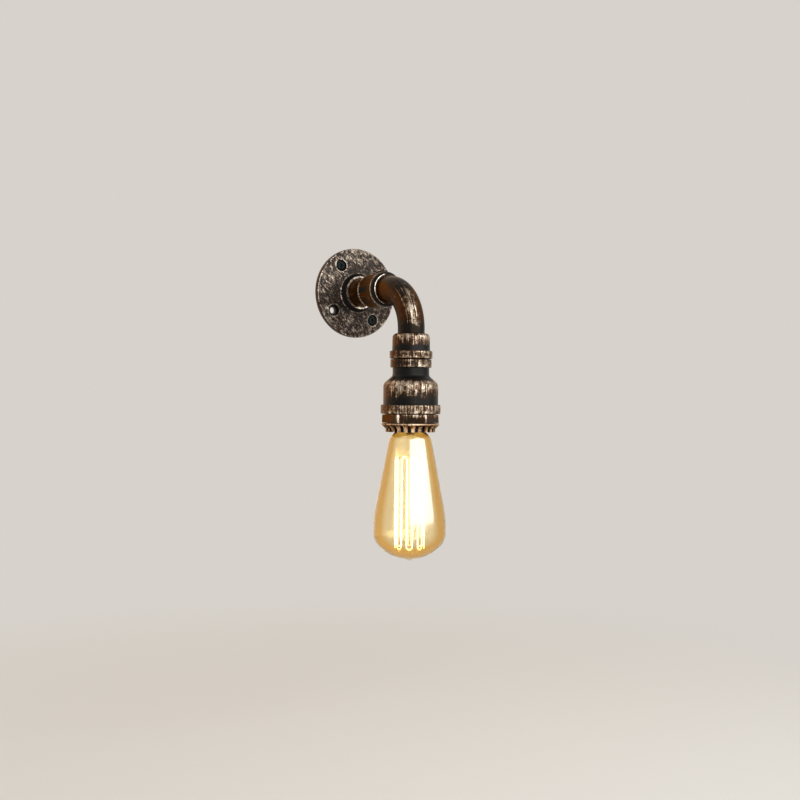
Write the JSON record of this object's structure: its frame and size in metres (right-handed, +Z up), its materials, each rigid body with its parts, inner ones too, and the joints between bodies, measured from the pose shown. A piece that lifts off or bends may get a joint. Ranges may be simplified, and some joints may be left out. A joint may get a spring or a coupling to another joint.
{
  "type": "wall lamp",
  "caption": "Wall lamp of pipe fittings: a round flange, a short arm, a long-sweep elbow, a bell-shaped lamp holder with a castellated ring, and a screw-in teardrop filament bulb hanging down.",
  "frame": {"origin": "centre of the wall flange's back face, on the wall plane and on the arm's axis", "axes": "+Y points into the wall, so the arm stands out towards -Y; +Z is up and the bulb hangs towards -Z; +X is to the right when facing the wall"},
  "size_m": [0.084, 0.132, 0.284],
  "materials": {
    "flange_bronze": "blackened cast metal with worn silvery-tan patches",
    "nipple_bronze": "dark bronzed pipe, satin",
    "coupling_bronze": "dark bronzed fitting with worn copper-coloured edges",
    "elbow_copper": "dark reddish-brown bronzed fitting, satin",
    "collar_bronze": "dark bronzed fitting with brushed copper highlights",
    "bell_bronze": "dark bronzed fitting with vertical brushed streaks",
    "hex_bronze": "dark bronzed hexagon with bright worn corners",
    "crown_bronze": "dark bronzed ring, satin",
    "porcelain": "white glazed porcelain",
    "holder_brass": "plain brass sheet",
    "screw_steel": "zinc-plated steel",
    "bracket_steel": "zinc-plated steel",
    "live_sleeve": "brown insulation",
    "neutral_sleeve": "blue insulation",
    "earth_sleeve": "green and yellow insulation",
    "copper_core": "bare copper",
    "cap_brass": "thin rolled brass",
    "cap_vitrite": "black glass insulator",
    "tip_solder": "dull solder",
    "amber_glass": "clear amber-tinted glass",
    "stem_glass": "clear glass",
    "support_metal": "fine drawn wire",
    "filament_glow": "glowing filament"
  },
  "bodies": {
    "lamp": {"wall_flange": "flange_bronze", "arm_nipple": "nipple_bronze", "arm_coupling": "coupling_bronze", "elbow": "elbow_copper", "drop_coupling": "collar_bronze", "close_nipple": "nipple_bronze", "bell_reducer": "bell_bronze", "hex_bushing": "hex_bronze", "crown_ring": "crown_bronze", "socket_body": "porcelain", "screw_shell": "holder_brass", "centre_contact": "holder_brass", "terminal_screws": "screw_steel", "socket_bracket": "bracket_steel", "bracket_screws": "screw_steel", "holder_tube": "bracket_steel", "lock_nuts": "bracket_steel", "earth_tag": "holder_brass", "live_lead": "live_sleeve", "neutral_lead": "neutral_sleeve", "earth_lead": "earth_sleeve", "lead_cores": "copper_core"},
    "bulb_carrier": {"cap_insulator": "cap_vitrite", "contact_tip": "tip_solder"},
    "bulb": {"bulb_cap": "cap_brass", "bulb_glass": "amber_glass", "glass_stem": "stem_glass", "lead_in_wires": "support_metal", "support_wires": "support_metal", "filament": "filament_glow"}
  },
  "joints": [
    {"name": "bulb_travel", "type": "slide", "parent": "lamp", "child": "bulb_carrier", "axis": [0, 0, -1], "range_m": [0, 0.0182]},
    {"name": "bulb_turn", "type": "hinge", "parent": "bulb_carrier", "child": "bulb", "pos_m": [0, -0.1, -0.115], "axis": [0, 0, -1], "range_deg": [0, 1800]}
  ],
  "couplings": [
    {"joint": "bulb_travel", "follows": "bulb_turn", "m_per_rad": 0.00057757}
  ]
}
